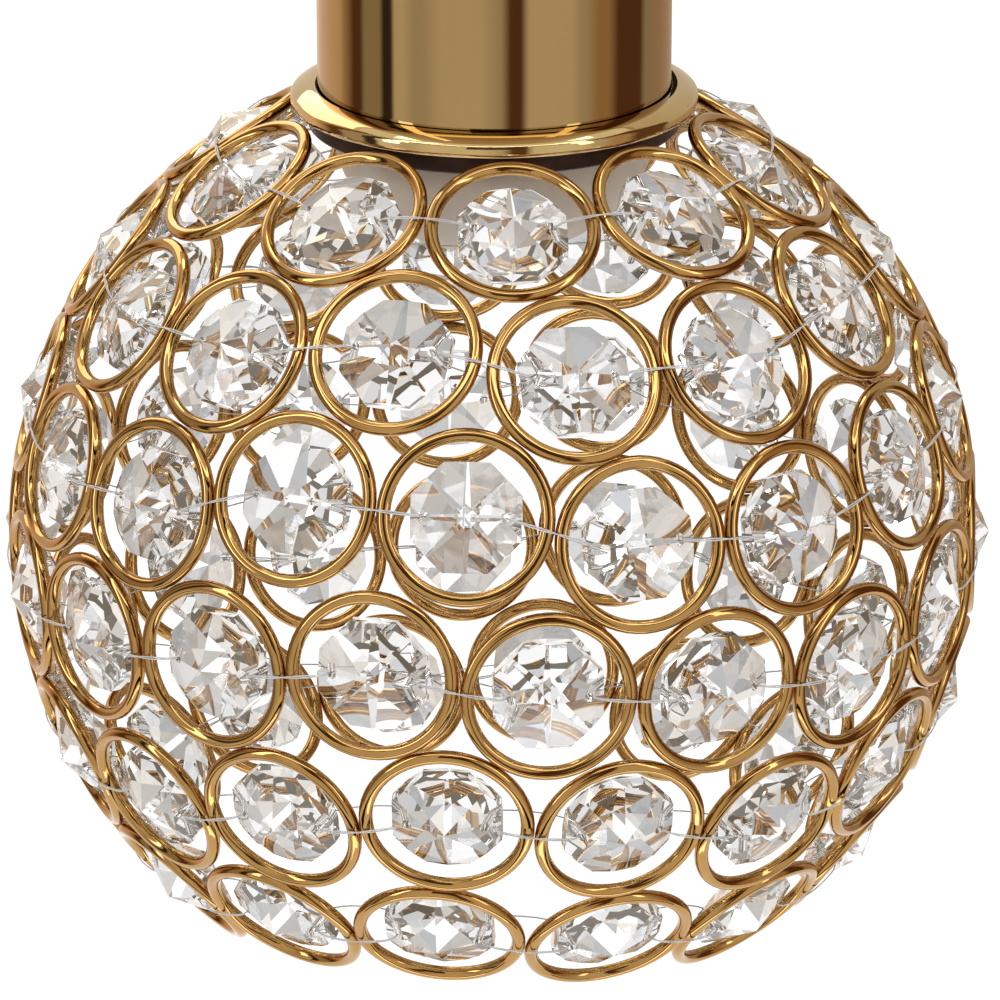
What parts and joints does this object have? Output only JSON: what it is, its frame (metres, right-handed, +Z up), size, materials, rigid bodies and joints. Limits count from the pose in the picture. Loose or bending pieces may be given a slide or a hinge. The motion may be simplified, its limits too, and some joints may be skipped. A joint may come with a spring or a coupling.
{
  "type": "globe pendant light",
  "caption": "Hanging light: a brass tube with an opal lens over an open globe of touching wire rings, each framing a cut glass crystal tied in with thread.",
  "frame": {"origin": "centre of the cord entry's mouth, on top of the gland", "axes": "+Z up along the tube's axis, out of the cord entry; -Y is the front seen in the picture; +X to its right"},
  "size_m": [0.1344, 0.1343, 0.2014],
  "materials": {
    "polished_gold": "mirror-polished gold plate",
    "tube_brass": "polished and lacquered",
    "dark_bronze": "satin",
    "crystal": "cut and polished, clear",
    "opal": "opal, satin",
    "thread": "clear nylon thread",
    "black_rubber": "matte",
    "steel": "zinc plated",
    "white_plastic": "moulded",
    "sink_aluminium": "machined",
    "lead_insulation": "insulated wire",
    "grey_silicone": "matte silicone",
    "board_white": "white solder resist",
    "phosphor": "phosphor coat"
  },
  "bodies": {
    "tube": {"gland_nut": "tube_brass", "gland_bushing": "black_rubber", "gland_body": "tube_brass", "top_cap": "tube_brass", "cap_screws": "steel", "lock_washer": "steel", "lock_nut": "steel", "tube_housing": "tube_brass", "terminal_block": "white_plastic", "terminal_screws": "steel", "led_driver": "white_plastic", "driver_plate": "sink_aluminium", "plate_screws": "steel", "sink_circlip": "steel", "heat_sink": "sink_aluminium", "led_leads": "lead_insulation", "thermal_pad": "grey_silicone", "led_board": "board_white", "board_screws": "steel", "led_chip": "phosphor", "dome_gasket": "grey_silicone", "diffuser_dome": "opal", "bezel": "dark_bronze"},
    "globe": {"neck_collar": "polished_gold", "ring_row_1": "polished_gold", "ring_row_2": "polished_gold", "ring_row_3": "polished_gold", "ring_row_4": "polished_gold", "ring_row_5": "polished_gold", "ring_row_6": "polished_gold", "crystal_row_1": "crystal", "crystal_row_2": "crystal", "crystal_row_3": "crystal", "crystal_row_4": "crystal", "crystal_row_5": "crystal", "crystal_row_6": "crystal", "thread_row_1": "thread", "thread_row_2": "thread", "thread_row_3": "thread", "thread_row_4": "thread", "thread_row_5": "thread", "thread_row_6": "thread"}
  },
  "joints": [
    {"name": "globe_turn", "type": "hinge", "parent": "tube", "child": "globe", "pos_m": [0, 0, -0.0897], "axis": [0, 0, 1], "continuous": true}
  ]
}
